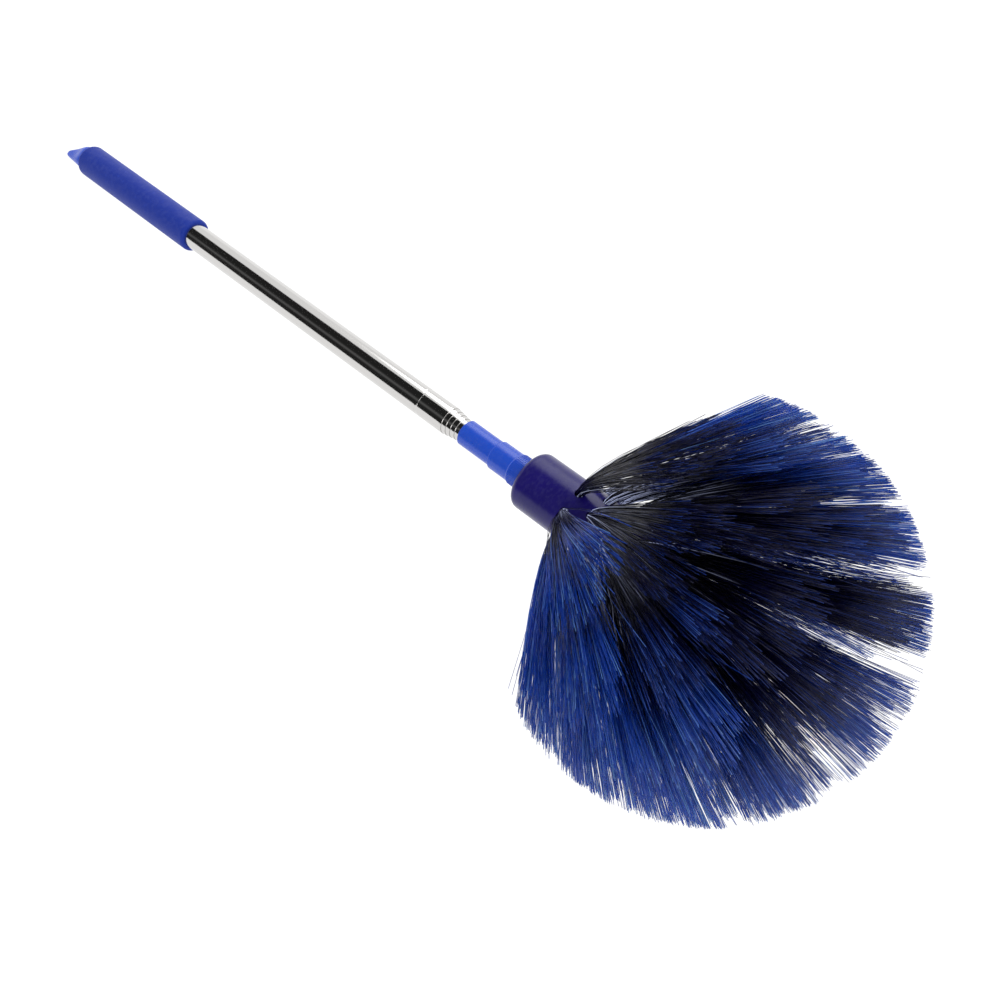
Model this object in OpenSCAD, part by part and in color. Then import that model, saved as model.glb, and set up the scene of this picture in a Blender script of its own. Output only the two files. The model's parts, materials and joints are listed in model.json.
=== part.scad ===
// Telescopic cobweb brush lying on a floor, millimetres, +Z up.
// The brush has its own axis: x runs from the rear of the grip to the tip of the bristles.
// lay() tips that axis up so that the grip and the bristle ball both touch z = 0.

/* [Grip] */
// Wall of the soft grip sleeve on the outer tube
grip_wall = 3.2; // [3:0.1:5]
// Length of the grip sleeve
grip_len = 160; // [100:1:200]
// Rounding of the sleeve's two ends
grip_round = 3; // [1:0.5:3]

/* [Hanging cap] */
// Width of the cap's rim around the tube
cap_rim = 1.3; // [1:0.1:2]
// Length of the hanging tab behind the sleeve
cap_len = 27.5; // [26:0.5:29]
// Width of the tab at its waist, halfway back
cap_waist_w = 15.8; // [15:0.2:17]
// Width of the tab at its tip
cap_tip_w = 10; // [8:0.5:10]
// Thickness of the tab at its tip
cap_tip_t = 5; // [4:0.5:6]
// Distance of the tip from the brush axis, to one side
cap_tip_off = 6.5; // [5:0.5:7]
// Turn of the tab about the brush axis
cap_turn = 22; // [-90:2:90]
// Distance of the hanging hole behind the sleeve
cap_hole_back = 15; // [14:0.5:16]
// Wall of the cap's spigot
cap_wall = 2; // [1.5:0.1:4]
// Diameter of the hanging hole
hang_hole_d = 6; // [4:0.5:7]
// Length of the hanging hole through the tab
hang_hole_len = 9; // [7:0.5:9]
// Length of the cap's spigot inside the tube
cap_spigot_len = 24; // [15:1:30]

/* [Telescopic tube] */
// Number of steel tubes
tube_n = 5; // [5:5]
// Outside diameter of the outer tube
tube_d = 22; // [21:0.5:23]
// Wall of every tube
tube_wall = 0.35; // [0.3:0.01:0.36]
// Free space between two nested tubes, on the radius
tube_gap = 0.225; // [0.22:0.005:0.25]
// Place of the outer tube's front end
tube_front = 472; // [440:1:520]
// Length of each tube that shows in front of the next larger one
nest_step = 4; // [3:0.5:6]
// Distance of the rolled stop groove from a tube's front end
stop_back = 27; // [20:1:40]
// Width of the rolled stop groove
stop_w = 3; // [2:0.5:4]
// Length of the rolled-in neck at a tube's front end
neck_len = 2.4; // [2:0.1:3]
// Running clearance of a neck or shim, on the radius
slide_clear = 0.05; // [0.03:0.01:0.08]

/* [Friction shims] */
// Length of a brass friction shim
shim_len = 14; // [10:1:20]
// Depth of the rolled seat that holds a shim on its tube
shim_seat = 0.15; // [0.12:0.01:0.16]
// Distance of a shim from the rear end of its tube
shim_back = 3; // [2:0.5:5]
// Free length between the shims of two nested tubes
shim_apart = 4; // [4:0.5:8]
// Width of the split in a shim
shim_split = 6; // [3:0.5:8]

/* [Head adapter] */
// Wall of the adapter's socket around the inner tube
socket_wall = 1.2; // [0.8:0.1:1.5]
// Length of the adapter's socket part
socket_len = 30.5; // [24:0.5:36]
// Step from the socket up to the collar, on the radius
collar_step = 1.2; // [0.7:0.1:1.7]
// Length of the adapter's collar
collar_len = 19; // [12:0.5:22]
// Step from the collar up to the ribbed flange, on the radius
flange_step = 0.6; // [0.5:0.1:1.4]
// Length of the adapter's ribbed flange
flange_len = 12; // [8:0.5:14]
// Step from the flange up to the seat ring that enters the hub, on the radius
seat_step = 0.9; // [0.6:0.1:1.6]
// Number of fine ribs around the flange
rib_n = 48; // [20:1:60]
// Width of a rib
rib_w = 0.6; // [0.5:0.1:0.8]
// Height of a rib above the flange
rib_h = 0.25; // [0.2:0.05:0.4]
// Length of the cone between the flange and the seat ring
seat_cone = 1.5; // [1:0.5:3]
// Depth of the seat ring in the hub
seat_len = 3; // [2:0.5:4]
// Depth of the socket on the inner tube
tube_grip = 27; // [20:0.5:28]
// Outside diameter of the screw spigot
spigot_d = 18.8; // [18:0.1:19.4]
// Length of the screw spigot in the hub
spigot_len = 28; // [20:0.5:34]
// Bore through the adapter
adapter_bore = 12; // [9:0.5:13]
// Clearance of the screw spigot in the hub, on the radius
screw_clear = 0.06; // [0.04:0.01:0.1]

/* [Hub] */
// Diameter of the hub
hub_d = 43.8; // [41:0.2:48]
// Rounding of the hub's rear edge
hub_rear_round = 5; // [4:0.5:7]
// Rounding of the hub's front edge
hub_front_round = 12; // [10:0.5:13]
// Diameter of the hollow core ahead of the screw socket
core_d = 18; // [14:0.5:18.8]
// Solid length left between the core and the hub's front
core_cap = 20; // [14:1:30]

/* [Bristles] */
// Diameter of the ball that the bristle tips are trimmed to
ball_d = 276; // [240:2:300]
// Distance of the ball's centre from the hub's rear face
ball_ahead = 153; // [145:1:170]
// Distance of the first row of tufts from the hub's rear face
row_first = 46; // [44:1:48]
// Distance from one row of tufts to the next
row_pitch = 17.5; // [16:0.5:18]
// Distance from the last row around the side to the hub's front face
front_margin = 17; // [17:0.5:24]
// Distance of the front ring of tufts from the brush axis
front_ring_r = 12.5; // [12:0.5:13]
// Number of rows around the hub's side
row_n = 4; // [4:4]
// Number of tufts in a row around the side
row_tufts = 8; // [8:8]
// Turn of the first row's tufts about the brush axis
row_turn = -8; // [-12:1:12]
// Diameter of a tuft hole
hole_d = 7; // [6:0.25:7]
// Depth of a tuft hole
hole_depth = 8.5; // [8:0.25:9]
// Number of strands in a tuft
strand_n = 12; // [8:12]
// Thickness of a strand at its root
strand_root = 1; // [0.9:0.05:1.1]
// Thickness of a strand at its tip, where its filaments part
strand_tip = 3.4; // [2:0.1:3.4]
// Depth of the flat where the ball rests on the floor
rest_flat = 0.5; // [0.5:0.1:0.8]

/* [Tuft staples] */
// Thickness of the flat wire that holds a tuft
staple_t = 0.6; // [0.4:0.1:0.8]
// Height of the flat wire
staple_h = 2; // [1.5:0.1:2]
// Bite of the flat wire into the hub on each side of a hole
staple_bite = 0.8; // [0.5:0.1:1]

/* [Hidden] */
$fn = 48;
eps = 0.01;

// diameters that follow from the pieces they fit
grip_d = tube_d + 2 * grip_wall;
cap_d = tube_d + 2 * cap_rim;
tube_step = 2 * (tube_wall + tube_gap);
function tube_r(k) = (tube_d - (k - 1) * tube_step) / 2;
socket_d = 2 * (tube_r(tube_n) + socket_wall);
collar_d = socket_d + 2 * collar_step;
flange_d = collar_d + 2 * flange_step;
seat_d = flange_d + 2 * seat_step;

// places along the brush axis
cap_flange = 2;
adapter_x = tube_front + tube_n * nest_step - nest_step;
adapter_shoulder = adapter_x + tube_grip;
hub_x = adapter_x + socket_len + collar_len + flange_len + seat_cone;
hub_front = hub_x + row_first + (row_n - 1) * row_pitch + front_margin;
ball_x = hub_x + ball_ahead;
ball_r = ball_d / 2;

// the lying brush: the sleeve's rear edge and the ball touch the floor
rest_reach = ball_x - grip_round;
rest_grip = grip_d / 2;
rest_height = ball_r - rest_flat;
tilt = asin(rest_height / norm([rest_reach, rest_grip])) - atan(rest_grip / rest_reach);
axis_z = rest_grip * cos(tilt) - grip_round * sin(tilt);
front_x = ball_x * cos(tilt) + ball_r;
rear_x = -cap_len * cos(tilt);
origin_x = (front_x + rear_x) / 2;

module lay() {
    translate([-origin_x, 0, axis_z]) rotate([0, -tilt, 0]) children();
}

// a piece of round bar or tube along the brush axis, from a profile of [x, r] points
module turned(profile) {
    rotate([0, 90, 0]) rotate_extrude() polygon([for (p = profile) [p[1], p[0]]]);
}

module bar(x0, x1, d) {
    translate([x0, 0, 0]) rotate([0, 90, 0]) cylinder(d = d, h = x1 - x0);
}

// points of a rounded edge, [depth behind the end face, radius], from the side to the face
function round_edge(r, size) = [for (a = [0 : 15 : 90]) [size * (1 - sin(a)), r - size * (1 - cos(a))]];

// hanging cap: a spigot in the tube, a thin flange and a tab cut off on the slant
cap_flat = cap_tip_off + cap_tip_t / 2;
hang_seat_d = hang_hole_d + 2;
cap_draft = 1.5;
cap_edge = 1;
cap_corner = 3;
cap_full = 3;
cap_waist = 11;

module cap_tab() {
    r = cap_d / 2;
    tip = -cap_len;
    near = -cap_flat;
    far = near + cap_tip_t;
    half = cap_tip_w / 2;
    waist = cap_waist_w / 2;
    intersection() {
        turned([[tip, 0], [tip, r - cap_draft], [-cap_flange, r], [0, r], [0, 0]]);
        // seen from the side: one face along the axis, the other on the slant
        translate([0, 0, -cap_d]) linear_extrude(2 * cap_d)
            polygon([[cap_edge, -cap_d], [-cap_flange, -r], [tip + cap_edge, near],
                [tip, near + cap_edge], [tip, far - cap_edge], [tip + cap_edge, far],
                [-cap_full, r - cap_draft], [cap_edge, cap_d]]);
        // seen from above: drawn in towards the tip
        rotate([90, 0, 0]) translate([0, 0, -cap_d]) linear_extrude(2 * cap_d)
            polygon([[cap_edge, -r], [-cap_full, -r], [-cap_waist, -waist], [tip + cap_corner, -half],
                [tip, cap_corner - half], [tip, half - cap_corner], [tip + cap_corner, half],
                [-cap_waist, waist], [-cap_full, r], [cap_edge, r]]);
    }
}

module hang_cap() {
    spigot_x1 = cap_flange + cap_spigot_len;
    tube_bore = tube_d - 2 * tube_wall;
    color("royalblue") lay() rotate([cap_turn, 0, 0])
        difference() {
            union() {
                cap_tab();
                bar(-eps, cap_flange, tube_d);
                bar(cap_flange - eps, spigot_x1, tube_bore);
            }
            bar(cap_flange + cap_wall, spigot_x1 + 1, tube_bore - 2 * cap_wall);
            // hanging hole between two flat seats, sunk into the faces of the tab
            translate([-cap_hole_back, 0, 0]) rotate([90, 0, 0]) {
                translate([0, 0, -cap_d]) cylinder(d = hang_hole_d, h = 2 * cap_d);
                translate([0, 0, cap_flat - hang_hole_len - cap_d]) cylinder(d = hang_seat_d, h = cap_d);
                translate([0, 0, cap_flat]) cylinder(d = hang_seat_d, h = cap_d);
            }
        }
}

module grip_sleeve() {
    end = round_edge(grip_d / 2, grip_round);
    color("mediumblue") lay() turned(concat(
        [[0, tube_d / 2]],
        [for (i = [len(end) - 1 : -1 : 0]) end[i]],
        [for (p = end) [grip_len - p[0], p[1]]],
        [[grip_len, tube_d / 2]]));
}

// steel tubes, numbered 1 for the outer one to tube_n for the innermost
rear_gap = 4;
function tube_x1(k) = k == tube_n ? adapter_shoulder : tube_front + (k - 1) * nest_step;
function tube_x0(k) = k == 1 ? cap_flange
    : cap_flange + cap_spigot_len + rear_gap + (k - 2) * (shim_len + shim_apart);

// outside of a tube from rear to front; the inside runs parallel, one wall deeper
seat_slope = 0.3;
neck_turn = 0.6;
function shim_x0(k) = tube_x0(k) + shim_back;
function tube_skin(k) = let(r = tube_r(k), dip = tube_gap - slide_clear, x0 = tube_x0(k), x1 = tube_x1(k))
    concat(
        [[x0, r]],
        k == 1 ? [] : [
            [shim_x0(k) - seat_slope, r], [shim_x0(k), r - shim_seat],
            [shim_x0(k) + shim_len, r - shim_seat],
            [shim_x0(k) + shim_len + seat_slope, r]],
        k == tube_n ? [] : [
            [x1 - stop_back - stop_w / 2, r], [x1 - stop_back - stop_w / 4, r - dip],
            [x1 - stop_back + stop_w / 4, r - dip], [x1 - stop_back + stop_w / 2, r],
            [x1 - neck_len, r], [x1 - neck_len / 3, r - dip * neck_turn], [x1, r - dip]],
        k == tube_n ? [[x1, r]] : []);

module steel_tube(k) {
    skin = tube_skin(k);
    color("silver") lay() turned(concat(
        skin,
        [for (i = [len(skin) - 1 : -1 : 0]) [skin[i][0], skin[i][1] - tube_wall]]));
}

module outer_tube() { steel_tube(1); }
module tube_2() { steel_tube(2); }
module tube_3() { steel_tube(3); }
module tube_4() { steel_tube(4); }
module tube_5() { steel_tube(5); }

// a thin split sleeve that rubs on the bore of the next larger tube
module friction_shim(k) {
    r_in = tube_r(k) - shim_seat;
    r_out = tube_r(k) + tube_gap - slide_clear;
    color("goldenrod") lay() difference() {
        turned([[shim_x0(k), r_in], [shim_x0(k), r_out],
            [shim_x0(k) + shim_len, r_out], [shim_x0(k) + shim_len, r_in]]);
        translate([shim_x0(k) - 1, -shim_split / 2, 0]) cube([shim_len + 2, shim_split, tube_d]);
    }
}

module shim_2() { friction_shim(2); }
module shim_3() { friction_shim(3); }
module shim_4() { friction_shim(4); }
module shim_5() { friction_shim(5); }

// head adapter: a socket pressed on the inner tube, a ribbed flange and a screw spigot
collar_x = adapter_x + socket_len;
flange_x = collar_x + collar_len;
spigot_end = hub_x + seat_len + spigot_len;
screw_spare = 2;
socket_edge = 0.5;
collar_cone = 1.5;
flange_cone = 1;
spigot_edge = 1;
rib_inset = 1.5;
rib_len = flange_len - 2 * rib_inset;

module head_adapter() {
    color("royalblue") lay() difference() {
        union() {
            turned([[adapter_x, 0], [adapter_x, socket_d / 2 - socket_edge],
                [adapter_x + socket_edge, socket_d / 2], [collar_x, socket_d / 2],
                [collar_x + collar_cone, collar_d / 2], [flange_x, collar_d / 2],
                [flange_x + flange_cone, flange_d / 2], [hub_x - seat_cone, flange_d / 2],
                [hub_x, seat_d / 2], [hub_x + seat_len, seat_d / 2],
                [hub_x + seat_len, spigot_d / 2], [spigot_end - spigot_edge, spigot_d / 2],
                [spigot_end, spigot_d / 2 - spigot_edge], [spigot_end, 0]]);
            for (i = [0 : rib_n - 1])
                rotate([i * 360 / rib_n, 0, 0])
                    translate([flange_x + rib_inset, -rib_w / 2, 0])
                        cube([rib_len, rib_w, flange_d / 2 + rib_h]);
        }
        bar(adapter_x - 1, adapter_shoulder, 2 * tube_r(tube_n));
        bar(adapter_shoulder - eps, spigot_end + 1, adapter_bore);
    }
}

// rows of tufts: [x of the hole's mouth, radius of the mouth, tilt of the hole, number of tufts,
// turn of the first one, angle of its tip on the ball, half angle that its tips cover along the
// brush and across it, number of straight steps in a strand]
side_tip_angle = 99;
side_tip_angle_step = 15;
side_angle_along = 8;
side_angle_across = 16;
ring_tilt_angle = 62;
ring_tip_angle = 34;
ring_angle_along = 8.5;
ring_angle_across = 13;
centre_angle = 16;
ring_n = 6;
hole_sides = 24;
side_row = [for (i = [0 : row_n - 1]) [hub_x + row_first + i * row_pitch, hub_d / 2, 0, row_tufts,
    row_turn + (i % 2) * 180 / row_tufts, side_tip_angle - i * side_tip_angle_step,
    side_angle_along, side_angle_across, 3]];
front_ring = [hub_front - front_drop(front_ring_r), front_ring_r, ring_tilt_angle, ring_n,
    180 / ring_n, ring_tip_angle, ring_angle_along, ring_angle_across, 2];
centre_tuft = [hub_front, 0, 90, 1, 0, 0, centre_angle, centre_angle, 2];

// how far the rounded front edge lies behind the hub's front face, at radius r
function front_drop(r) = let(flat = hub_d / 2 - hub_front_round)
    r <= flat ? 0 : hub_front_round - sqrt(pow(hub_front_round, 2) - pow(r - flat, 2));

// puts its children at each tuft hole of a row, with +z pointing out of the hole
module at_tufts(row) {
    for (k = [0 : row[3] - 1])
        rotate([row[4] + k * 360 / row[3], 0, 0])
            translate([row[0], 0, row[1]]) rotate([0, row[2], 0]) children();
}

module staple(grow = 0) {
    length = hole_d + 2 * staple_bite;
    translate([-length / 2, -staple_t / 2, -hole_depth]) cube([length, staple_t, staple_h + grow]);
}

module hub() {
    rear = round_edge(hub_d / 2, hub_rear_round);
    front = round_edge(hub_d / 2, hub_front_round);
    seat_r = seat_d / 2 + screw_clear;
    screw_r = spigot_d / 2 + screw_clear;
    screw_end = spigot_end + screw_spare;
    color("midnightblue") lay() difference() {
        turned(concat(
            [[hub_x + seat_len, screw_r], [hub_x + seat_len, seat_r], [hub_x, seat_r]],
            [for (i = [len(rear) - 1 : -1 : 0]) [hub_x + rear[i][0], rear[i][1]]],
            [for (p = front) [hub_front - p[0], p[1]]],
            [[hub_front, 0], [hub_front - core_cap, 0], [hub_front - core_cap, core_d / 2],
                [screw_end, core_d / 2], [screw_end, screw_r]]));
        for (row = concat(side_row, [front_ring, centre_tuft]))
            at_tufts(row) {
                translate([0, 0, -hole_depth])
                    cylinder(d = hole_d, h = hole_depth + hub_front_round, $fn = hole_sides);
                staple();
            }
    }
}

// strands: each one curves from its root, straight out of the hole at first, to its tip
side_n = 3;
strand_sink = 1.2;
strand_lead = 16;
root_ring = 2.8;
plug_rim = 0.2;
plug_clear = 0.05;
plug_sides = 8;
golden_angle = 137.508;

function unit(v) = v / norm(v);
function bend(a, b, c, t) = (1 - t) * (1 - t) * a + 2 * t * (1 - t) * b + t * t * c;
function slope(a, b, c, t) = unit((1 - t) * (b - a) + t * (c - b));

// a strand's three-sided skin around the curve with the corners a, b and c
module strand(a, b, c, steps) {
    last = steps * side_n;
    points = [for (i = [0 : steps])
        let(t = i / steps, p = bend(a, b, c, t), d = slope(a, b, c, t),
            side = unit(cross(d, [0, 1, 0])), up = cross(side, d),
            r = (strand_root + (strand_tip - strand_root) * t) / 2)
        for (j = [0 : side_n - 1])
            let(w = j * 360 / side_n) p + r * (cos(w) * side + sin(w) * up)];
    skin = [for (q = [0 : side_n : last - 1]) for (j = [0 : side_n - 1])
        let(k = (j + 1) % side_n, over = q + side_n)
        for (f = [[q + j, q + k, over + k], [q + j, over + k, over + j]]) f];
    polyhedron(points, concat([[2, 1, 0]], skin, [[last, last + 1, last + 2]]));
}

// the root plug of a tuft: its filaments packed round the staple in the hole
module root_plug(row) {
    translate([row[0], 0, row[1]]) rotate([0, row[2], 0]) difference() {
        translate([0, 0, -hole_depth])
            cylinder(d = hole_d - 2 * plug_clear, h = hole_depth - plug_rim, $fn = plug_sides);
        staple(eps);
    }
}

// one tuft, in the plane of its hole; its strands part like the seeds of a sunflower
module tuft(row) {
    out = [sin(row[2]), 0, cos(row[2])];
    along = [cos(row[2]), 0, -sin(row[2])];
    across = [0, 1, 0];
    tip_out = [cos(row[5]), 0, sin(row[5])];
    tip_along = [sin(row[5]), 0, -cos(row[5])];
    root_plug(row);
    for (j = [0 : strand_n - 1]) {
        r = sqrt((j + 0.5) / strand_n);
        u = r * cos(j * golden_angle);
        v = r * sin(j * golden_angle);
        root = [row[0], 0, row[1]] + root_ring * (u * along + v * across) - strand_sink * out;
        tip = [ball_x, 0, 0]
            + ball_r * unit(tip_out + tan(row[6]) * u * tip_along + tan(row[7]) * v * across);
        strand(root, root + strand_lead * out, tip, row[8]);
    }
}

module tuft_row(row) {
    color("darkblue") difference() {
        lay() for (k = [0 : row[3] - 1]) rotate([row[4] + k * 360 / row[3], 0, 0]) tuft(row);
        // the flat on which the ball rests
        translate([-2 * front_x, -ball_d, -ball_r]) cube([4 * front_x, 2 * ball_d, ball_r]);
    }
}

module tufts_row_1() { tuft_row(side_row[0]); }
module tufts_row_2() { tuft_row(side_row[1]); }
module tufts_row_3() { tuft_row(side_row[2]); }
module tufts_row_4() { tuft_row(side_row[3]); }
module tufts_front_ring() { tuft_row(front_ring); }
module tuft_centre() { tuft_row(centre_tuft); }

module staple_row(row) {
    color("lightsteelblue") lay() at_tufts(row) staple();
}

module staples_row_1() { staple_row(side_row[0]); }
module staples_row_2() { staple_row(side_row[1]); }
module staples_row_3() { staple_row(side_row[2]); }
module staples_row_4() { staple_row(side_row[3]); }
module staples_front_ring() { staple_row(front_ring); }
module staple_centre() { staple_row(centre_tuft); }

hang_cap();
grip_sleeve();
outer_tube();
tube_2();
tube_3();
tube_4();
tube_5();
shim_2();
shim_3();
shim_4();
shim_5();
head_adapter();
hub();
tufts_row_1();
tufts_row_2();
tufts_row_3();
tufts_row_4();
tufts_front_ring();
tuft_centre();
staples_row_1();
staples_row_2();
staples_row_3();
staples_row_4();
staples_front_ring();
staple_centre();
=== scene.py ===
# %% [markdown]
# # A telescopic cobweb brush
# A ball of blue filament sits on a violet hub. The hub screws onto a bright blue adapter at the end
# of five nested steel tubes, and the largest tube carries a soft grip and a slanted hanging cap.
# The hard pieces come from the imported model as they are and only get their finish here, apart from
# the cap, which is drawn again with rounder sections. The bristles are made anew, filament by
# filament, because that is where this object has its looks.

import json
import math
from collections import namedtuple

import bmesh
import bpy
import numpy as np
from mathutils import Matrix, Vector


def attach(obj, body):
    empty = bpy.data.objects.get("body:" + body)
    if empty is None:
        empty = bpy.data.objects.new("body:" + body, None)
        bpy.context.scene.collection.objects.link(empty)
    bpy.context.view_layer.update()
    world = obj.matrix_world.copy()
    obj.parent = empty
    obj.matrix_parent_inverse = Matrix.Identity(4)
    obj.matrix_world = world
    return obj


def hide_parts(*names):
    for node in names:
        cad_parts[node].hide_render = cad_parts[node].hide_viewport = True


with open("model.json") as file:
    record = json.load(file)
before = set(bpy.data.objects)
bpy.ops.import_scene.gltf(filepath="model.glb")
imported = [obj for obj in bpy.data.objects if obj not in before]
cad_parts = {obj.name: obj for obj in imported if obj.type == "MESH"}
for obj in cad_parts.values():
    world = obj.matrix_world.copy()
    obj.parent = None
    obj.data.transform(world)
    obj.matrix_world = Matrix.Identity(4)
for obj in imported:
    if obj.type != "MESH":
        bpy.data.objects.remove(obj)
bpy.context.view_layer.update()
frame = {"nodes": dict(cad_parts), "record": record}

# %% [markdown]
# ## The brush's own axis
# The brush lies on the floor with its head propped up by the bristle ball, so its axis slopes.
# The joint that screws the head on gives the axis and a point on it: the hub's rear face. All
# lengths below are measured from that point, and `on_brush` turns them into places in the scene.

# %% Measure along the brush
screw = next(j for j in frame["record"]["behaviour"]["joints"] if j["name"] == "head_turn")
HUB_BACK = Vector(screw["pos_m"])
AHEAD = Vector(screw["axis"]).normalized()
ASIDE = Vector((0, 1, 0))
ABOVE = AHEAD.cross(ASIDE)
SLOPE = math.asin(AHEAD.z)


def on_brush(along, out=0.0, turn=0.0):
    """The place `along` metres ahead of the hub's rear face and `out` from the axis."""
    away = ABOVE * math.cos(turn) - ASIDE * math.sin(turn)
    return HUB_BACK + AHEAD * along + away * out


print("the axis rises by", round(math.degrees(SLOPE), 2), "degrees")

# %% [markdown]
# ## The camera
# The tube looks narrower at the grip than at the hub, and its round ends look flattened. Those
# widths give the lens, the distance and the direction of view, so the camera is placed from
# them: a 43 mm lens that looks down on the brush from 63 degrees. The Standard view transform
# keeps the ground pure white and the blues as strong as they are mixed.

# %% Place the camera
EYE = Vector((0.393174, -0.292739, 0.847435))
LOOK = Vector((-0.310638, 0.323085, -0.893935))
LENS_MM, SENSOR_MM = 43.2, 36
SIGHT = 50

lens = bpy.data.cameras.new("camera")
lens.lens = LENS_MM
lens.sensor_width = SENSOR_MM
lens.clip_end = SIGHT
camera = bpy.data.objects.new("camera", lens)
camera.location = EYE
camera.rotation_euler = LOOK.to_track_quat("-Z", "Y").to_euler()
bpy.context.collection.objects.link(camera)
bpy.context.scene.camera = camera
bpy.context.scene.view_settings.view_transform = "Standard"
print("camera", round(EYE.z, 3), "m above the floor, lens", round(lens.lens, 1), "mm")

# %% [markdown]
# ## Small helpers for materials
# A finish is a graph of nodes. These helpers keep that graph readable: `node` adds a node and
# fills its sockets, `material` starts one with its Principled shader, and `effect` starts a node
# group, which is how an effect is written once. `use` places that group in a material. The last
# three do sums, mix two colours and stretch a range of numbers.

# %% Write the material helpers
def node(tree, kind, **inputs):
    """Add a node. Each input is a number, a colour, or an output socket to link from."""
    made = tree.nodes.new("ShaderNode" + kind)
    for name, value in inputs.items():
        socket = made.inputs[int(name[1:]) if name[0] == "_" else name.replace("_", " ")]
        if isinstance(value, bpy.types.NodeSocket):
            tree.links.new(value, socket)
        else:
            socket.default_value = value
    return made


def material(name, **inputs):
    """A material with its Principled shader filled in."""
    made = bpy.data.materials.new(name)
    made.use_nodes = True
    made.node_tree.nodes.clear()
    shader = node(made.node_tree, "BsdfPrincipled", **inputs)
    out = node(made.node_tree, "OutputMaterial")
    made.node_tree.links.new(shader.outputs[0], out.inputs["Surface"])
    return made, made.node_tree, shader


def effect(name, inputs, outputs):
    """A node group with named inputs, each with its default, and named outputs."""
    tree = bpy.data.node_groups.new(name, "ShaderNodeTree")
    for label, (kind, value) in inputs.items():
        socket = tree.interface.new_socket(label, in_out="INPUT", socket_type="NodeSocket" + kind)
        if value is not None:
            socket.default_value = value
    for label, kind in outputs.items():
        tree.interface.new_socket(label, in_out="OUTPUT", socket_type="NodeSocket" + kind)
    return tree, tree.nodes.new("NodeGroupInput").outputs, tree.nodes.new("NodeGroupOutput").inputs


def use(tree, name, **inputs):
    """Place a node group in a material."""
    made = tree.nodes.new("ShaderNodeGroup")
    made.node_tree = bpy.data.node_groups[name]
    for label, value in inputs.items():
        socket = made.inputs[label.replace("_", " ")]
        if isinstance(value, bpy.types.NodeSocket):
            tree.links.new(value, socket)
        else:
            socket.default_value = value
    return made.outputs


def math_node(tree, operation, *values):
    """Do a sum with numbers or sockets."""
    made = node(tree, "Math", **{f"_{i}": v for i, v in enumerate(values)})
    made.operation = operation
    return made.outputs[0]


def mix_colour(tree, factor, a, b):
    """Blend from colour a to colour b."""
    made = node(tree, "Mix", _0=factor)
    made.data_type = "RGBA"
    for socket, value in zip([s for s in made.inputs if s.type == "RGBA"], (a, b)):
        if isinstance(value, bpy.types.NodeSocket):
            tree.links.new(value, socket)
        else:
            socket.default_value = value
    return next(s for s in made.outputs if s.type == "RGBA")


def ramp(tree, value, low, high, to_low=0.0, to_high=1.0):
    """Map low..high to to_low..to_high and hold it there beyond."""
    return node(tree, "MapRange", _0=value, _1=low, _2=high, _3=to_low, _4=to_high).outputs[0]


print("helpers ready")

# %% [markdown]
# ## Effect: places along the brush
# Drawn tube has its marks along its length and turned plastic has them around it, so textures
# need coordinates that follow the sloping axis. This group turns object coordinates until X runs
# along the brush, and stretches them by the number that each finish asks for.

# %% Build the group that follows the brush's axis
tree, given, result = effect(
    "Along the Brush",
    {"Stretch": ("Float", 1.0)},
    {"Vector": "Vector"},
)
place = node(tree, "TexCoord").outputs["Object"]
turned = node(tree, "VectorRotate", Vector=place, Axis=(0, 1, 0), Angle=SLOPE)
split = node(tree, "SeparateXYZ", Vector=turned.outputs[0])
along = math_node(tree, "DIVIDE", split.outputs["X"], given["Stretch"])
joined = node(tree, "CombineXYZ", X=along, Y=split.outputs["Y"], Z=split.outputs["Z"])
tree.links.new(joined.outputs[0], result["Vector"])
print("group:", tree.name)

# %% [markdown]
# ## Effect: moulded skin
# Moulded plastic copies its steel mould: a faint orange peel, and a gloss that is a little uneven.
# Both come from noise at the size of a real mould's texture, a fraction of a millimetre.

# %% Build the group for moulded plastic
tree, given, result = effect(
    "Moulded Skin",
    {
        "Vector": ("Vector", None),
        "Grain Size": ("Float", 0.0006),
        "Gloss": ("Float", 0.3),
        "Unevenness": ("Float", 0.1),
    },
    {"Height": "Float", "Roughness": "Float"},
)
scale = math_node(tree, "DIVIDE", 1.0, given["Grain Size"])
peel = node(tree, "TexNoise", Vector=given["Vector"], Scale=scale, Detail=2.0)
cloud = node(tree, "TexNoise", Vector=given["Vector"], Scale=45.0, Detail=3.0)
swing = math_node(tree, "SUBTRACT", cloud.outputs[0], 0.5)
swing = math_node(tree, "MULTIPLY", swing, given["Unevenness"])
rough = math_node(tree, "MULTIPLY_ADD", swing, 2.0, given["Gloss"])
tree.links.new(peel.outputs[0], result["Height"])
tree.links.new(rough, result["Roughness"])
print("group:", tree.name)

# %% [markdown]
# ## Effect: handling wear
# Whatever is gripped, slid or knocked gets fine scratches. Long thin noise, cut off high, leaves
# only a few streaks, and the group gives them as a mask that each finish uses in its own way.

# %% Build the group for scratches
tree, given, result = effect(
    "Handling Wear",
    {"Vector": ("Vector", None), "Density": ("Float", 0.3), "Fineness": ("Float", 900.0)},
    {"Mask": "Float", "Streaks": "Float"},
)
fine = node(tree, "TexNoise", Vector=given["Vector"], Scale=given["Fineness"], Detail=3.0)
patch = node(tree, "TexNoise", Vector=given["Vector"], Scale=18.0, Detail=1.0)
cut = math_node(tree, "SUBTRACT", 0.78, math_node(tree, "MULTIPLY", given["Density"], 0.3))
edge = math_node(tree, "ADD", cut, 0.06)
streak = ramp(tree, fine.outputs[0], cut, edge)
where = ramp(tree, patch.outputs[0], 0.42, 0.6)
tree.links.new(math_node(tree, "MULTIPLY", streak, where), result["Mask"])
tree.links.new(fine.outputs[0], result["Streaks"])
print("group:", tree.name)

# %% [markdown]
# ## Effect: settled dust
# Even a new brush has a trace of pale dust on the faces that look up, and more in recesses. The
# group mixes a dust colour in where a coarse noise and the upward slope of the surface agree.

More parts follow.
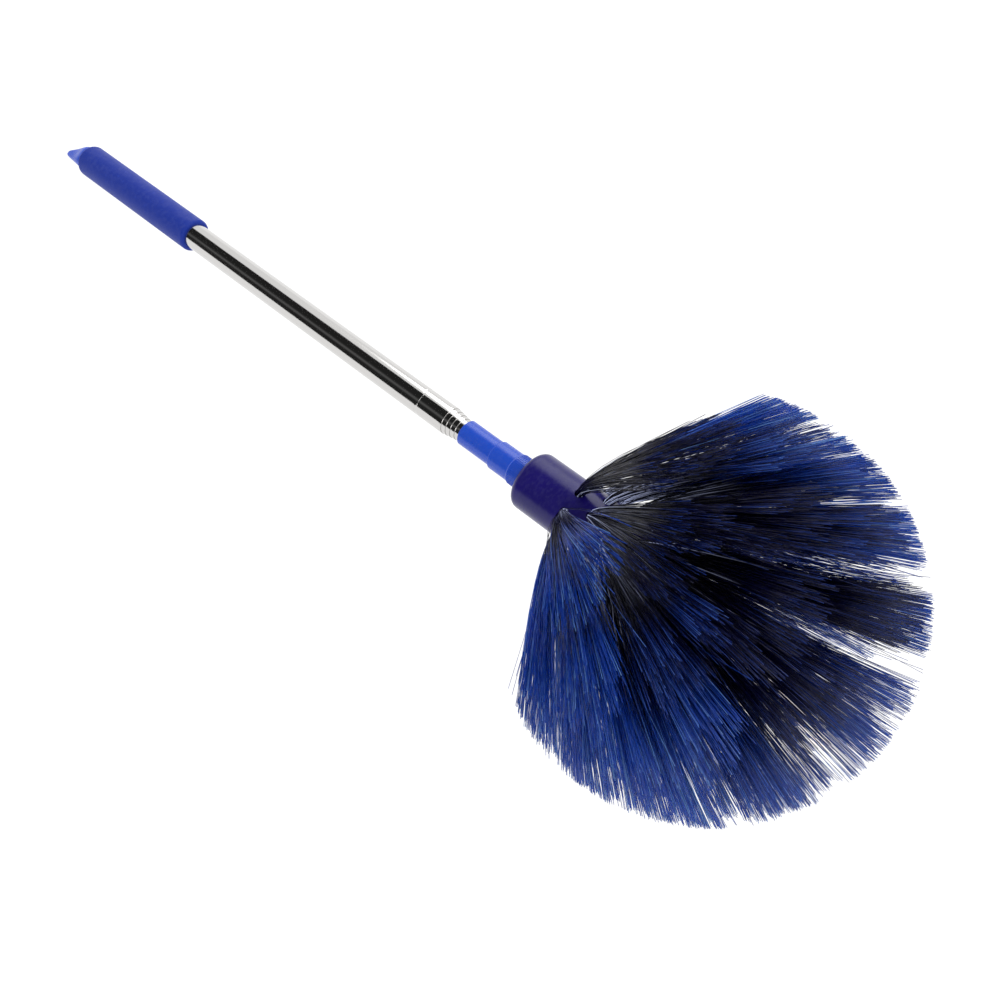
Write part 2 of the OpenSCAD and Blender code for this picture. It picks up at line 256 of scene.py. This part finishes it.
# %% Build the group for dust
tree, given, result = effect(
    "Settled Dust",
    {
        "Colour": ("Color", (0.5, 0.5, 0.5, 1)),
        "Vector": ("Vector", None),
        "Amount": ("Float", 0.05),
    },
    {"Colour": "Color"},
)
up = node(tree, "SeparateXYZ", Vector=node(tree, "NewGeometry").outputs["Normal"]).outputs["Z"]
speck = node(tree, "TexNoise", Vector=given["Vector"], Scale=260.0, Detail=6.0)
lying = math_node(tree, "MULTIPLY", ramp(tree, up, -0.2, 1.0), ramp(tree, speck.outputs[0], 0.45, 0.75))
amount = math_node(tree, "MULTIPLY", lying, given["Amount"])
tree.links.new(mix_colour(tree, amount, given["Colour"], (0.55, 0.56, 0.6, 1)), result["Colour"])
print("group:", tree.name)

# %% [markdown]
# ## The finishes of the hard pieces
# Cap and adapter are the same bright glossy plastic. The grip is a matt foamed sleeve with fine
# pores. The hub is a satin violet plastic that picks up a pale sheen at grazing angles.

# %% Mix the bright blue plastic
def bright_plastic(name, blue, stretch):
    """Glossy moulded plastic of one blue, its grain stretched along the brush."""
    made, tree, shader = material(name, IOR=1.49)
    shader.inputs["Subsurface Weight"].default_value = 0.06
    shader.inputs["Subsurface Scale"].default_value = 0.002
    axis = use(tree, "Along the Brush", Stretch=stretch)
    skin = use(tree, "Moulded Skin", Vector=axis["Vector"], Grain_Size=0.0007, Gloss=0.26, Unevenness=0.06)
    worn = use(tree, "Handling Wear", Vector=axis["Vector"], Density=0.25, Fineness=700.0)
    pale = mix_colour(tree, math_node(tree, "MULTIPLY", worn["Mask"], 0.25), blue, (0.1, 0.22, 0.7, 1))
    dusty = use(tree, "Settled Dust", Colour=pale, Vector=axis["Vector"], Amount=0.02)
    tree.links.new(dusty["Colour"], shader.inputs["Base Color"])
    tree.links.new(skin["Roughness"], shader.inputs["Roughness"])
    bump = node(tree, "Bump", Strength=0.05, Distance=0.0002, Height=skin["Height"])
    tree.links.new(bump.outputs[0], shader.inputs["Normal"])
    return made


cap_plastic = bright_plastic("cap plastic", (0.003, 0.05, 0.46, 1), 1.0)
adapter_plastic = bright_plastic("adapter plastic", (0.006, 0.055, 0.44, 1), 0.5)
print("materials:", cap_plastic.name, adapter_plastic.name)

# %% Mix the soft grip
grip_foam, tree, shader = material("grip foam", IOR=1.45, Sheen_Weight=0.08, Sheen_Roughness=0.35)
shader.inputs["Specular IOR Level"].default_value = 0.25
shader.inputs["Sheen Tint"].default_value = (0.35, 0.5, 1, 1)
axis = use(tree, "Along the Brush", Stretch=1.0)
skin = use(tree, "Moulded Skin", Vector=axis["Vector"], Grain_Size=0.0004, Gloss=0.5, Unevenness=0.08)
pores = node(tree, "TexVoronoi", Vector=axis["Vector"], Scale=1500.0)
pits = ramp(tree, pores.outputs["Distance"], 0.05, 0.45)
worn = use(tree, "Handling Wear", Vector=axis["Vector"], Density=0.5, Fineness=300.0)
# painted shade: the pores are painted darker than the skin between them, for the shade inside them
shade = mix_colour(tree, pits, (0.001, 0.012, 0.19, 1), (0.002, 0.022, 0.26, 1))
rubbed = mix_colour(tree, math_node(tree, "MULTIPLY", worn["Mask"], 0.3), shade, (0.02, 0.05, 0.42, 1))
dusty = use(tree, "Settled Dust", Colour=rubbed, Vector=axis["Vector"], Amount=0.03)
tree.links.new(dusty["Colour"], shader.inputs["Base Color"])
tree.links.new(skin["Roughness"], shader.inputs["Roughness"])
height = math_node(tree, "MULTIPLY_ADD", pits, 0.6, skin["Height"])
bump = node(tree, "Bump", Strength=0.35, Distance=0.0002, Height=height)
tree.links.new(bump.outputs[0], shader.inputs["Normal"])
print("material:", grip_foam.name)

# %% Mix the violet hub
hub_plastic, tree, shader = material("hub plastic", IOR=1.5, Sheen_Weight=0.03, Sheen_Roughness=0.3)
shader.inputs["Specular IOR Level"].default_value = 0.28
shader.inputs["Sheen Tint"].default_value = (0.7, 0.6, 1, 1)
axis = use(tree, "Along the Brush", Stretch=0.6)
skin = use(tree, "Moulded Skin", Vector=axis["Vector"], Grain_Size=0.0005, Gloss=0.24, Unevenness=0.04)
cloud = node(tree, "TexNoise", Vector=axis["Vector"], Scale=60.0, Detail=4.0)
clouded = ramp(tree, cloud.outputs[0], 0.3, 0.7)
shade = mix_colour(tree, clouded, (0.006, 0.003, 0.09, 1), (0.008, 0.004, 0.11, 1))
worn = use(tree, "Handling Wear", Vector=axis["Vector"], Density=0.3, Fineness=500.0)
rubbed = mix_colour(tree, math_node(tree, "MULTIPLY", worn["Mask"], 0.3), shade, (0.05, 0.04, 0.26, 1))
dusty = use(tree, "Settled Dust", Colour=rubbed, Vector=axis["Vector"], Amount=0.02)
tree.links.new(dusty["Colour"], shader.inputs["Base Color"])
tree.links.new(skin["Roughness"], shader.inputs["Roughness"])
bump = node(tree, "Bump", Strength=0.2, Distance=0.0002, Height=skin["Height"])
tree.links.new(bump.outputs[0], shader.inputs["Normal"])
print("material:", hub_plastic.name)

# %% [markdown]
# ## The finishes of the metal pieces
# The tubes are drawn and polished stainless steel: nearly a mirror, with hairlines along the
# tube. The shims are rolled brass and the staples plain wire, and both hardly show.

# %% Mix the metals
def rolled_metal(name, colour, dull, gloss, lines, depth):
    """Metal with hairlines: its colour, the colour of its wear, its gloss, and how long and deep they are."""
    made, tree, shader = material(name, Metallic=1.0)
    axis = use(tree, "Along the Brush", Stretch=lines)
    worn = use(tree, "Handling Wear", Vector=axis["Vector"], Density=0.4, Fineness=2600.0)
    haze = node(tree, "TexNoise", Vector=axis["Vector"], Scale=30.0, Detail=3.0)
    tint = mix_colour(tree, math_node(tree, "MULTIPLY", worn["Mask"], 0.5), colour, dull)
    dusty = use(tree, "Settled Dust", Colour=tint, Vector=axis["Vector"], Amount=0.04)
    tree.links.new(dusty["Colour"], shader.inputs["Base Color"])
    rough = math_node(tree, "MULTIPLY_ADD", haze.outputs[0], 0.06, gloss)
    rough = math_node(tree, "MULTIPLY_ADD", worn["Mask"], 0.12, rough)
    tree.links.new(rough, shader.inputs["Roughness"])
    bump = node(tree, "Bump", Strength=depth, Distance=0.00005, Height=worn["Streaks"])
    tree.links.new(bump.outputs[0], shader.inputs["Normal"])
    return made


tube_steel = rolled_metal("tube steel", (0.6, 0.59, 0.58, 1), (0.45, 0.44, 0.43, 1), 0.08, 60.0, 0.1)
shim_brass = rolled_metal("shim brass", (0.78, 0.57, 0.24, 1), (0.5, 0.36, 0.16, 1), 0.22, 8.0, 0.2)
staple_wire = rolled_metal("staple wire", (0.6, 0.6, 0.6, 1), (0.4, 0.4, 0.4, 1), 0.3, 4.0, 0.2)
print("materials:", tube_steel.name, shim_brass.name, staple_wire.name)

# %% [markdown]
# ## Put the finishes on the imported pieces
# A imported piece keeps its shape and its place. Only its material slots are filled, by the slot
# that the record gives it.

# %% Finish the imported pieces
FINISH = {
    "cap_plastic": cap_plastic,
    "grip_foam": grip_foam,
    "tube_steel": tube_steel,
    "shim_brass": shim_brass,
    "adapter_plastic": adapter_plastic,
    "hub_plastic": hub_plastic,
    "staple_wire": staple_wire,
}
for part in frame["record"]["subparts"]:
    piece = frame["nodes"][part["node"]]
    if part["material_slot"] in FINISH:
        piece.data.materials.clear()
        piece.data.materials.append(FINISH[part["material_slot"]])
        for polygon in piece.data.polygons:
            polygon.material_index = 0
    print(part["node"], "has the finish of", part["material_slot"])

# %% [markdown]
# ## The hanging cap
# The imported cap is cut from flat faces. The real one is moulded and has no sharp edge on it: it
# leaves the sleeve as a round plug, and draws in to a flat rounded tab with one slanted side. So
# the cap is drawn again as a stack of rounded sections, and the hanging hole is bored through it.

# %% Draw the cap's sections
CAP_TURN = math.radians(22)
GRIP_BACK = -0.551
HOLE_R, SEAT_R = 0.003, 0.004
HOLE_BEHIND_GRIP = 0.015
PAST_THE_TAB = 0.02
# each section: distance ahead of the sleeve's rear edge, half width, nearer face, farther face
# and how square its corners are, in millimetres
SECTIONS = [
    (26, 10.6, -10.6, 10.6, 2), (2, 10.6, -10.6, 10.6, 2), (2, 10.95, -10.95, 10.95, 2),
    (0.05, 10.95, -10.95, 10.95, 2), (0.05, 11.4, -11.4, 11.4, 2), (-1, 11.5, -11.6, 11.5, 2.1),
    (-3, 11.3, -11.2, 10.8, 2.4), (-5, 10.7, -10.8, 9.6, 2.9), (-8, 9.5, -10.5, 7.7, 3.4),
    (-11, 8.3, -10.3, 5.7, 3.8), (-14, 7.4, -10.1, 3.7, 4), (-17, 6.8, -9.9, 1.7, 4),
    (-20, 6.3, -9.7, -0.2, 4), (-22.5, 5.9, -9.5, -1.7, 3.8), (-24.5, 5.5, -9.3, -2.8, 3.5),
    (-25.7, 4.9, -8.9, -3.7, 3.2), (-26.4, 4.1, -8.3, -4.8, 3), (-26.7, 2.8, -7.7, -5.5, 3),
]
AROUND = 72


def cap_section(section):
    """The points of one rounded section, in the scene's metres."""
    ahead, half, near, far, power = section
    points = []
    for k in range(AROUND):
        a = 2 * math.pi * k / AROUND
        c, s = math.cos(a), math.sin(a)
        flat = math.copysign(abs(c) ** (2 / power), c) * (far - near) / 2 + (far + near) / 2
        wide = math.copysign(abs(s) ** (2 / power), s) * half
        y = flat * math.cos(CAP_TURN) - wide * math.sin(CAP_TURN)
        z = flat * math.sin(CAP_TURN) + wide * math.cos(CAP_TURN)
        points.append(HUB_BACK + AHEAD * (GRIP_BACK + ahead / 1000) + ASIDE * y / 1000 + ABOVE * z / 1000)
    return points


def cap_mesh():
    """Join the sections into one closed skin."""
    corners = [p for section in SECTIONS for p in cap_section(section)]
    faces = []
    for ring in range(len(SECTIONS) - 1):
        for k in range(AROUND):
            a, b = ring * AROUND + k, ring * AROUND + (k + 1) % AROUND
            faces.append((a, b, b + AROUND, a + AROUND))
    faces.append(tuple(range(AROUND))[::-1])
    faces.append(tuple(range(len(corners) - AROUND, len(corners))))
    mesh = bpy.data.meshes.new("smooth_cap")
    mesh.from_pydata(corners, [], faces)
    shape = bmesh.new()
    shape.from_mesh(mesh)
    bmesh.ops.recalc_face_normals(shape, faces=shape.faces)
    shape.to_mesh(mesh)
    shape.free()
    return mesh


# %% Bore the hanging hole and put the cap on
def drill(radius, depth_from, depth_to):
    """A round cutter through the tab, between two distances from the brush's axis."""
    away = ASIDE * math.cos(CAP_TURN) + ABOVE * math.sin(CAP_TURN)
    shape = bmesh.new()
    middle = HUB_BACK + AHEAD * (GRIP_BACK - HOLE_BEHIND_GRIP) + away * (depth_from + depth_to) / 2
    turn = away.to_track_quat("Z", "X").to_matrix().to_4x4()
    bmesh.ops.create_cone(
        shape, cap_ends=True, segments=48, radius1=radius, radius2=radius,
        depth=depth_to - depth_from, matrix=Matrix.Translation(middle) @ turn,
    )
    mesh = bpy.data.meshes.new("drill")
    shape.to_mesh(mesh)
    shape.free()
    made = bpy.data.objects.new("drill", mesh)
    bpy.context.collection.objects.link(made)
    return made


smooth_cap = bpy.data.objects.new("smooth_cap", cap_mesh())
bpy.context.collection.objects.link(smooth_cap)
for cutter in (drill(HOLE_R, -PAST_THE_TAB, PAST_THE_TAB), drill(SEAT_R, 0.0, PAST_THE_TAB)):
    cut = smooth_cap.modifiers.new("hole", "BOOLEAN")
    cut.operation, cut.object, cut.solver = "DIFFERENCE", cutter, "EXACT"
    bpy.context.view_layer.update()
    bored = bpy.data.meshes.new_from_object(smooth_cap.evaluated_get(bpy.context.evaluated_depsgraph_get()))
    smooth_cap.modifiers.clear()
    smooth_cap.data = bored
    bpy.data.objects.remove(cutter)
smooth_cap.data.polygons.foreach_set("use_smooth", [True] * len(smooth_cap.data.polygons))
smooth_cap.data.set_sharp_from_angle(angle=math.radians(35))
smooth_cap.data.materials.append(cap_plastic)
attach(smooth_cap, "handle")
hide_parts("hang_cap")
print(smooth_cap.name, len(smooth_cap.data.polygons), "faces")

# %% [markdown]
# ## The filament's finish
# Each bristle is a clear blue polyester thread, a little under half a millimetre thick. Where many
# lie on each other the light is swallowed and the brush looks nearly black; that darkness is painted
# shade in the thread's colour, navy near the roots. Towards the tips the threads part, light comes
# through, and the colour is painted from navy to bright blue as painted light. Each thread carries
# three numbers: how far along it a point lies, stretched per tuft to paint some tufts paler or
# darker, its own share of chance, which sets how pale its tip is painted, and how strongly a painted
# highlight glints near its root, as the threads at the back of the head catch the light.

# %% Mix the filament
bristle_filament, tree, shader = material("bristle filament", IOR=1.5, Transmission_Weight=0.5)
thread = node(tree, "Attribute")
thread.attribute_name = "thread"
facts = node(tree, "SeparateColor", Color=thread.outputs["Color"]).outputs
reach, chance, glints = facts["Red"], facts["Green"], facts["Blue"]
axis = use(tree, "Along the Brush", Stretch=1.0)
navy, deep = (0.0008, 0.0008, 0.012, 1), (0.0008, 0.001, 0.06, 1)
bright, painted_through_light, painted_glint_colour = (0.008, 0.085, 0.62, 1), (0.2, 0.44, 0.92, 1), (0.85, 0.88, 1, 1)
# painted shade: navy to deep blue along the thread stands for the shade inside the dense ball
body = mix_colour(tree, ramp(tree, reach, 0.55, 0.95), navy, deep)
towards_tip = math_node(tree, "MULTIPLY_ADD", chance, 0.2, reach)
# painted light: bright blue towards the tips stands for light coming through where the threads part
lit = mix_colour(tree, ramp(tree, towards_tip, 0.9, 1.15), body, bright)
# painted light: a few threads get sky-pale tips, standing for light seen through thin tips
few = math_node(tree, "MULTIPLY", ramp(tree, chance, 0.78, 0.98), ramp(tree, reach, 0.85, 1.1))
pale = mix_colour(tree, few, lit, painted_through_light)
# painted highlight: a silvery colour near the root stands for glints on the threads
painted_glint_mask = math_node(tree, "MULTIPLY", glints, ramp(tree, reach, 0.75, 0.15))
glint = mix_colour(tree, painted_glint_mask, pale, painted_glint_colour)
dusty = use(tree, "Settled Dust", Colour=glint, Vector=axis["Vector"], Amount=0.02)
tree.links.new(dusty["Colour"], shader.inputs["Base Color"])
tree.links.new(ramp(tree, chance, 0.0, 1.0, 0.14, 0.3), shader.inputs["Roughness"])
shader.inputs["Specular IOR Level"].default_value = 0.12
# painted highlight: the glinting roots also glow, so the painted highlight stays bright in shade
glow = mix_colour(tree, painted_glint_mask, (0, 0, 0, 1), (0.45, 0.5, 0.75, 1))
tree.links.new(glow, shader.inputs["Emission Color"])
shader.inputs["Emission Strength"].default_value = 0.8
print("material:", bristle_filament.name)

# %% [markdown]
# ## The bristles
# Real bristles are cut threads, folded in half and stapled into the hub's holes, so each tuft
# fans out from one hole. A hair system could do this, but it can't be exported. So each thread is
# a thin three-sided rod along a smooth curve: straight out of its hole at first, then bent over
# to its place on the ball that the machine trimmed all tips to.

# %% Say where the tufts sit
# metres ahead of the hub's rear face, out from the axis and degrees of forward tilt for the holes,
# how many there are and where the first is, the angle of the tips and how far they spread
Row = namedtuple("Row", "ahead out tilt tufts first_turn tip_at spread_along spread_across")
FIRST_ROW, ROW_PITCH, HUB_R = 0.046, 0.0175, 0.0219
ROWS = {
    f"row_{k + 1}": Row(FIRST_ROW + k * ROW_PITCH, HUB_R, 0, 8, (-8, 14.5)[k % 2], 99 - 15 * k, 8, 16)
    for k in range(4)
}
ROWS["front_ring"] = Row(0.11522, 0.0125, 62, 6, 30, 34, 8.5, 13)
ROWS["centre"] = Row(0.1155, 0.0, 90, 1, 0, 0, 16, 16)
BALL_AHEAD, BALL_R = 0.153, 0.138
PER_TUFT, RINGS, SIDES = 280, 8, 3
THREAD_R = 0.0002
BUNDLE_R, ROOT_DEPTH = 0.0029, 0.003
# degrees from one thread of a bundle to the next, which spaces them evenly
SUNFLOWER = 137.508
LOCKS = 11
STRAY_SHARE, STRAY_BOW, BOW = 0.05, 0.004, 0.0013
UNEVEN_TIPS = 0.0016
SHORT_SHARE, SHORTEST = 0.08, 0.014
# share of the threads that get a painted glint near their roots
GLINTING = {"row_1": 0.5, "row_2": 0.4, "row_3": 0.25, "row_4": 0.1}
# painted light: how much sooner the tufts at a row's two sides are painted pale, where light comes through
# from behind
LIT_THROUGH = {"row_1": 1.1, "row_2": 0.4, "row_3": 0.2, "row_4": 0.2}
# painted shade: how much later the tufts on top are painted pale, since the dense middle lies behind them
SHADED = 0.2
print("tufts:", sum(row.tufts for row in ROWS.values()), "threads in each:", PER_TUFT)


# %% Draw the threads of one tuft
def tuft_threads(row, chance):
    """Curves of one tuft in the brush's own axes, as an array of thread, ring and x, y, z."""
    t, p = math.radians(row.tilt), math.radians(row.tip_at)
    out = np.array([math.sin(t), 0, math.cos(t)])
    fore = np.array([math.cos(t), 0, -math.sin(t)])
    side = np.array([0, 1.0, 0])
    tip_out = np.array([math.cos(p), 0, math.sin(p)])
    tip_fore = np.array([math.sin(p), 0, -math.cos(p)])
    n = PER_TUFT
    r = np.sqrt((np.arange(n) + 0.5) / n)
    a = np.arange(n) * math.radians(SUNFLOWER)
    u, v = r * np.cos(a), r * np.sin(a)
    # threads of a tuft cling together in locks, and a few stray
    locks = chance.uniform(-0.85, 0.85, (LOCKS, 2))
    near = ((u[:, None] - locks[:, 0]) ** 2 + (v[:, None] - locks[:, 1]) ** 2).argmin(1)
    cling = chance.uniform(0.15, 0.55, n)
    tu = u + (locks[near, 0] - u) * cling + chance.normal(0, 0.05, n)
    tv = v + (locks[near, 1] - v) * cling + chance.normal(0, 0.05, n)
    stray = chance.random(n) < STRAY_SHARE
    tu = np.where(stray, tu * 1.45 + chance.normal(0, 0.25, n), tu)
    tv = np.where(stray, tv * 1.45 + chance.normal(0, 0.25, n), tv)
    mouth = np.array([row.ahead, 0, row.out])
    root = mouth + BUNDLE_R * (u[:, None] * fore + v[:, None] * side) - ROOT_DEPTH * out
    aim = (
        tip_out
        + math.tan(math.radians(row.spread_along)) * tu[:, None] * tip_fore
        + math.tan(math.radians(row.spread_across)) * tv[:, None] * side
    )
    aim /= np.linalg.norm(aim, axis=1)[:, None]
    short = np.abs(chance.normal(0, UNEVEN_TIPS, n))
    short += np.where(chance.random(n) < SHORT_SHARE, chance.uniform(0, SHORTEST, n), 0)
    tip = np.array([BALL_AHEAD, 0, 0]) + (BALL_R - THREAD_R - short)[:, None] * aim
    lead = root + out * chance.uniform(0.013, 0.022, n)[:, None]
    s = np.linspace(0, 1, RINGS) ** 1.15
    s = s[None, :, None]
    curve = (1 - s) ** 2 * root[:, None] + 2 * s * (1 - s) * lead[:, None] + s**2 * tip[:, None]
    bow = chance.normal(0, 1, (n, 1, 3)) * np.where(stray, STRAY_BOW, BOW)[:, None, None]
    return curve + bow * np.sin(math.pi * s) * s


print("one tuft:", tuft_threads(ROWS["row_1"], np.random.default_rng(1)).shape)


# %% Turn curves into rods
def rods(curves, widths):
    """Corner places of three-sided rods along the curves: thread, ring, corner and x, y, z."""
    ahead = np.gradient(curves, axis=1)
    ahead /= np.linalg.norm(ahead, axis=2)[..., None]
    side = np.cross(ahead, [0.0, 1.0, 0.0])
    side /= np.linalg.norm(side, axis=2)[..., None]
    over = np.cross(side, ahead)
    turn = np.arange(SIDES) * 2 * math.pi / SIDES
    ring = side[:, :, None] * np.cos(turn)[:, None] + over[:, :, None] * np.sin(turn)[:, None]
    return curves[:, :, None] + ring * widths[:, None, None, None]


def row_mesh(name, curves, widths, chances, glints, painted_light_shift):
    """One mesh for a row of tufts, with the numbers that its finish reads."""
    count = len(curves)
    corners = rods(curves, widths).reshape(-1, 3)
    world = (
        np.array(HUB_BACK)
        + corners[:, :1] * np.array(AHEAD)
        - corners[:, 1:2] * np.array(ASIDE)
        + corners[:, 2:] * np.array(ABOVE)
    )
    first = np.arange(count)[:, None, None] * RINGS * SIDES
    ring = np.arange(RINGS - 1)[None, :, None] * SIDES
    j = np.arange(SIDES)[None, None]
    k = (j + 1) % SIDES
    low, high = first + ring, first + ring + SIDES
    quads = np.stack([low + j, low + k, high + k, high + j], -1).reshape(-1, 4)
    ends = np.arange(count)[:, None] * RINGS * SIDES
    tips = ends + (RINGS - 1) * SIDES + np.arange(SIDES)
    roots = ends + np.arange(SIDES)[::-1]
    mesh = bpy.data.meshes.new(name)
    mesh.from_pydata(world.tolist(), [], quads.tolist() + tips.tolist() + roots.tolist())
    # the painted light shift stretches the reach, so shifted tufts are painted pale sooner or later
    reach = np.repeat(np.linspace(0, 1, RINGS)[None] * (1 + painted_light_shift[:, None]), SIDES).ravel()
    luck = np.repeat(chances, RINGS * SIDES)
    shine = np.repeat(glints, RINGS * SIDES)
    facts = np.stack([reach, luck, shine, np.ones_like(reach)], -1)
    thread = mesh.color_attributes.new("thread", "FLOAT_COLOR", "POINT")
    thread.data.foreach_set("color", facts.ravel())
    unwrap(mesh, count, len(quads))
    return mesh


def unwrap(mesh, count, quad_count):
    """Give every thread a narrow column of its own in one of four bands."""
    layer = mesh.uv_layers.new(name="OFBake")
    bands = 4
    wide = math.ceil(count / bands)
    thread = np.repeat(np.arange(count), (RINGS - 1) * SIDES)
    ring = np.tile(np.repeat(np.arange(RINGS - 1), SIDES), count)
    j = np.tile(np.arange(SIDES), count * (RINGS - 1))
    u0 = (thread % wide + (j + 0.1) / (SIDES + 0.2)) / wide
    u1 = (thread % wide + (j + 1.1) / (SIDES + 0.2)) / wide
    v0 = (thread // wide + 0.02 + 0.96 * ring / (RINGS - 1)) / bands
    v1 = (thread // wide + 0.02 + 0.96 * (ring + 1) / (RINGS - 1)) / bands
    quads = np.stack([u0, v0, u1, v0, u1, v1, u0, v1], -1).reshape(-1)
    tip = np.arange(count)
    x, y = (tip % wide) / wide, (tip // wide + 0.98) / bands
    w, h = 1 / wide, 0.01 / bands
    caps = np.stack([x, y, x + w, y, x + w, y + h], -1).reshape(-1)
    feet = np.stack([x, y - 0.97 / bands, x + w, y - 0.97 / bands, x + w, y - 0.96 / bands], -1).reshape(-1)
    layer.data.foreach_set("uv", np.concatenate([quads, caps, feet]))


print("rods and maps ready")

# %% Plant the rows
def spin(curves, degrees):
    """Turn curves about the brush's axis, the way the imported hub's holes are turned."""
    c, s = math.cos(math.radians(degrees)), math.sin(math.radians(degrees))
    y, z = curves[..., 1], curves[..., 2]
    return np.stack([curves[..., 0], c * y + s * z, c * z - s * y], -1)


total = 0
for number, (name, row) in enumerate(ROWS.items()):
    chance = np.random.default_rng(40 + number)
    degrees = row.first_turn + np.arange(row.tufts) * 360 / row.tufts
    curves = np.concatenate([spin(tuft_threads(row, chance), turn) for turn in degrees])
    luck = chance.random(len(curves))
    widths = THREAD_R * (0.85 + 0.3 * luck)
    turns = np.radians(np.repeat(degrees, PER_TUFT))
    around = 0 if name == "centre" else 1
    # painted light and shade by each tuft's turn: side tufts are painted paler, top tufts darker
    beside = around * np.sin(turns) ** 2
    above = around * np.maximum(np.cos(turns), 0)
    painted_light_shift = LIT_THROUGH.get(name, 0) * beside - SHADED * above
    # painted highlight: which threads get a painted glint near their roots
    shiny = chance.random(len(curves)) < 0.01 + GLINTING.get(name, 0) * (0.15 + 0.85 * beside)
    glints = shiny * chance.uniform(0.3, 1, len(curves))
    mesh = row_mesh("bristles_" + name, curves, widths, luck, glints, painted_light_shift)
    piece = bpy.data.objects.new("bristles_" + name, mesh)
    bpy.context.collection.objects.link(piece)
    mesh.materials.append(bristle_filament)
    mesh.polygons.foreach_set("use_smooth", [True] * len(mesh.polygons))
    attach(piece, "head")
    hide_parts("tuft_centre" if name == "centre" else "tufts_" + name)
    total += len(curves)
    print(piece.name, len(curves), "threads,", len(mesh.polygons), "faces")
print("threads in all:", total)

# %% [markdown]
# ## The floor and the light
# The photograph has a pure white ground and no visible shadow. A pale floor that glows a little,
# under large soft lamps, comes close and stays a plain studio.

# %% Lay the floor
FLOOR_HALF = 6
floor_paint, tree, shader = material("floor paint", Roughness=0.9)
shader.inputs["Base Color"].default_value = (0.12, 0.12, 0.12, 1)
shader.inputs["Emission Color"].default_value = (1, 1, 1, 1)
shader.inputs["Emission Strength"].default_value = 0.97
mesh = bpy.data.meshes.new("floor")
corners = [(x * FLOOR_HALF, y * FLOOR_HALF, 0) for x, y in ((-1, -1), (1, -1), (1, 1), (-1, 1))]
mesh.from_pydata(corners, [], [(0, 1, 2, 3)])
mesh.materials.append(floor_paint)
floor = bpy.data.objects.new("floor", mesh)
bpy.context.collection.objects.link(floor)
print("floor:", floor.dimensions[:])


# %% Hang the lamps
LIT_SPOT = Vector((0.05, 0, 0.05))


def lamp(name, place, size, watts):
    """A round white lamp that faces the middle of the brush."""
    light = bpy.data.lights.new(name, "AREA")
    light.shape = "DISK"
    light.size, light.energy = size, watts
    made = bpy.data.objects.new(name, light)
    made.location = place
    made.rotation_euler = (LIT_SPOT - Vector(place)).to_track_quat("-Z", "Y").to_euler()
    bpy.context.collection.objects.link(made)


lamp("key", (-0.9, 2.2, 1.6), 2.4, 30)
lamp("side", (1.2, -2.2, 1.6), 1.2, 8)
lamp("top", (1.4, 1.0, 2.4), 1.6, 12)

# %% [markdown]
# ## The dark flag
# Polished steel shows what stands around it. In a white room it would vanish, so a photographer
# puts a black flag where the middle of the tube mirrors it. This one is an arc around the brush's
# axis, and only reflections see it. A faint pale band in it gives the stripe its lighter middle.

# %% Stand the flag
MID_TUBE = -0.25
FLAG_R, FLAG_ENDS = 1.3, (-2.3, 0.5)
FLAG_TURNS = np.radians(np.linspace(-63, 46, 25))
BAND_TURN, BAND_WIDTH = -18, 9
BAND_GLOW, FLAG_GLOW = 0.1, 0.02

to_eye = (EYE - on_brush(MID_TUBE)).normalized()
mirrored = (to_eye - to_eye.dot(AHEAD) * AHEAD).normalized()
beside = AHEAD.cross(mirrored)
if beside.y < 0:
    beside = -beside
arc = [mirrored * math.cos(t) + beside * math.sin(t) for t in FLAG_TURNS]
corners = [on_brush(end) + away * FLAG_R for end in FLAG_ENDS for away in arc]
last = len(arc)
mesh = bpy.data.meshes.new("flag")
mesh.from_pydata(corners, [], [(i, i + 1, last + i + 1, last + i) for i in range(last - 1)])
glow = mesh.color_attributes.new("glow", "FLOAT_COLOR", "POINT")
from_band = (np.degrees(FLAG_TURNS) - BAND_TURN) / BAND_WIDTH
band = FLAG_GLOW + BAND_GLOW * np.exp(-(from_band**2))
glow.data.foreach_set("color", np.repeat(np.tile(band, 2), 4))
flag_cloth, tree, shader = material("flag cloth", Roughness=1.0)
shader.inputs["Base Color"].default_value = (0, 0, 0, 1)
shader.inputs["Specular IOR Level"].default_value = 0
shade = node(tree, "Attribute")
shade.attribute_name = "glow"
tree.links.new(shade.outputs["Color"], shader.inputs["Emission Color"])
shader.inputs["Emission Strength"].default_value = 1
mesh.materials.append(flag_cloth)
flag = bpy.data.objects.new("flag", mesh)
bpy.context.collection.objects.link(flag)
flag.visible_camera = flag.visible_diffuse = flag.visible_shadow = flag.visible_transmission = False
print("flag stands towards", [round(v, 2) for v in mirrored])

# %% Fill the studio with even air light
world = bpy.data.worlds.new("studio air")
bpy.context.scene.world = world
world.use_nodes = True
air = world.node_tree.nodes["Background"]
air.inputs["Color"].default_value = (1, 1, 1, 1)
air.inputs["Strength"].default_value = 1.05
print("air light:", round(air.inputs["Strength"].default_value, 2))
